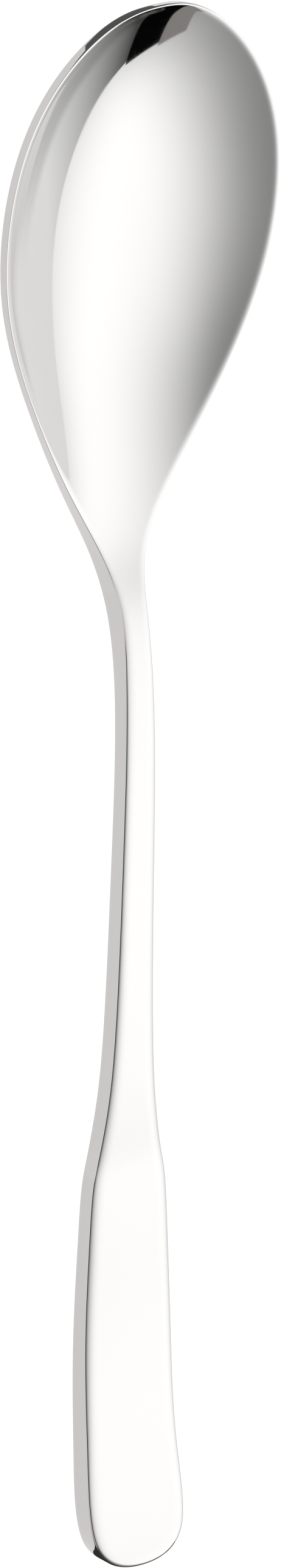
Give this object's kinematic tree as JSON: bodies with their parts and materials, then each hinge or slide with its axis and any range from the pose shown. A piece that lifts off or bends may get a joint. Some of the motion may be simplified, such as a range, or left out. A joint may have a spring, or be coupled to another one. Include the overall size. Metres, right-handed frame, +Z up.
{
  "type": "tablespoon",
  "caption": "Polished stainless tablespoon with an egg-shaped bowl, a slim arched stem and a flat handle that widens from a soft shoulder to a rounded end.",
  "frame": {"origin": "middle of the spoon's length and width, on the surface it rests on with the bowl up", "axes": "+Y along the spoon from the handle end to the bowl tip, +X to the right seen from above with the tip away, +Z up out of the bowl"},
  "size_m": [0.041, 0.208, 0.0134],
  "materials": {
    "bowl": "polished",
    "stem": "polished",
    "handle": "polished"
  },
  "bodies": {
    "root": {"bowl": "bowl", "stem": "stem", "handle": "handle"}
  },
  "joints": []
}
